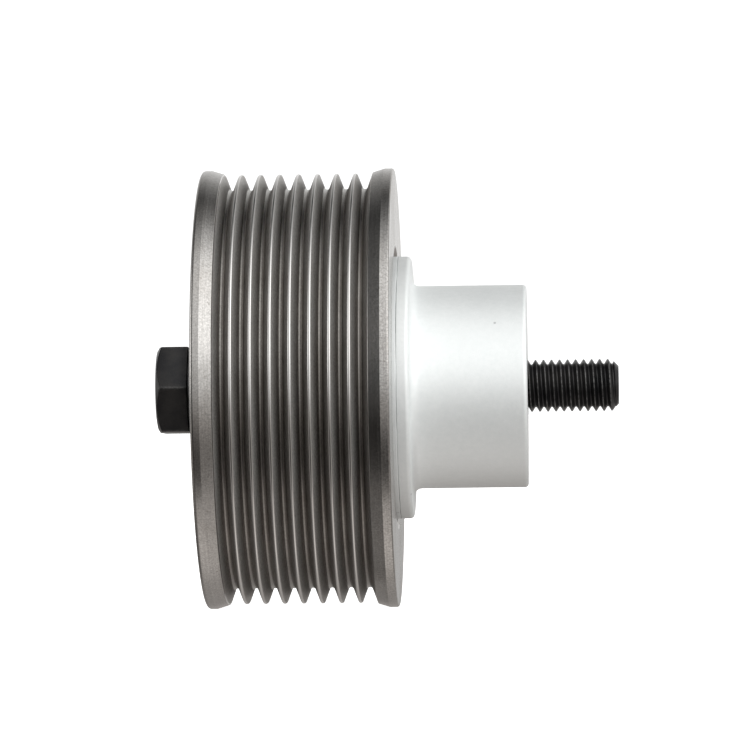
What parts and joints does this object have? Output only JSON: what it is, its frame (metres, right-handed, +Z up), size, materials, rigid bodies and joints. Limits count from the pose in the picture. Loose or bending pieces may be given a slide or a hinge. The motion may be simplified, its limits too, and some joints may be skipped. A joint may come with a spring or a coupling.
{
  "type": "belt idler pulley",
  "caption": "Multi-rib belt idler pulley in turned steel on sealed ball bearings, with a flanged alloy stand-off spacer behind it and a black hex bolt through both.",
  "frame": {"origin": "centre of the spacer's mounting face, on the turning axis", "axes": "+X along the turning axis, out of the mounting face towards the bolt's thread end; +Z up; the bolt head points to -X"},
  "size_m": [0.0864, 0.0822, 0.0822],
  "materials": {
    "turned_steel": "lathe turned, dull grey, fine rings of tool marks round the axis",
    "cast_alloy": "bead-blasted satin silver, pale and even, fine grain",
    "black_oxide": "black oxide with a thin oil film, semi-matt",
    "ground_steel": "ground steel",
    "zinc_plate": "bright zinc plated pressing",
    "spring_steel": "phosphated spring steel",
    "bearing_steel": "ground and honed bearing steel",
    "seal_rubber": "moulded nitrile rubber, matt black",
    "cage_steel": "pressed steel strip",
    "ball_steel": "polished balls"
  },
  "bodies": {
    "stand_off": {"spacer": "cast_alloy", "bearing_sleeve": "ground_steel", "front_dust_shield": "zinc_plate", "front_bearing_inner_ring": "bearing_steel", "rear_bearing_inner_ring": "bearing_steel"},
    "bolt_washer": {"washer": "black_oxide"},
    "bolt": {"bolt": "black_oxide"},
    "pulley": {"pulley": "turned_steel", "snap_ring": "spring_steel", "front_bearing_outer_ring": "bearing_steel", "front_bearing_outboard_seal": "seal_rubber", "front_bearing_inboard_seal": "seal_rubber", "rear_bearing_outer_ring": "bearing_steel", "rear_bearing_outboard_seal": "seal_rubber", "rear_bearing_inboard_seal": "seal_rubber"},
    "front_cage": {"front_cage_outboard_half": "cage_steel", "front_cage_inboard_half": "cage_steel", "front_cage_rivets": "cage_steel", "front_balls": "ball_steel"},
    "rear_cage": {"rear_cage_outboard_half": "cage_steel", "rear_cage_inboard_half": "cage_steel", "rear_cage_rivets": "cage_steel", "rear_balls": "ball_steel"}
  },
  "joints": [
    {"name": "pulley_spin", "type": "hinge", "parent": "stand_off", "child": "pulley", "pos_m": [-0.0424, 0, 0], "axis": [1, 0, 0], "continuous": true},
    {"name": "front_cage_spin", "type": "hinge", "parent": "stand_off", "child": "front_cage", "pos_m": [-0.052, 0, 0], "axis": [1, 0, 0], "continuous": true},
    {"name": "rear_cage_spin", "type": "hinge", "parent": "stand_off", "child": "rear_cage", "pos_m": [-0.038, 0, 0], "axis": [1, 0, 0], "continuous": true},
    {"name": "bolt_withdraw", "type": "slide", "parent": "stand_off", "child": "bolt_washer", "axis": [-1, 0, 0], "range_m": [0, 0.08]},
    {"name": "bolt_turn", "type": "hinge", "parent": "bolt_washer", "child": "bolt", "pos_m": [-0.063, 0, 0], "axis": [1, 0, 0], "continuous": true}
  ],
  "couplings": [
    {"joint": "front_cage_spin", "follows": "pulley_spin", "ratio": 0.6185},
    {"joint": "rear_cage_spin", "follows": "pulley_spin", "ratio": 0.6185}
  ]
}
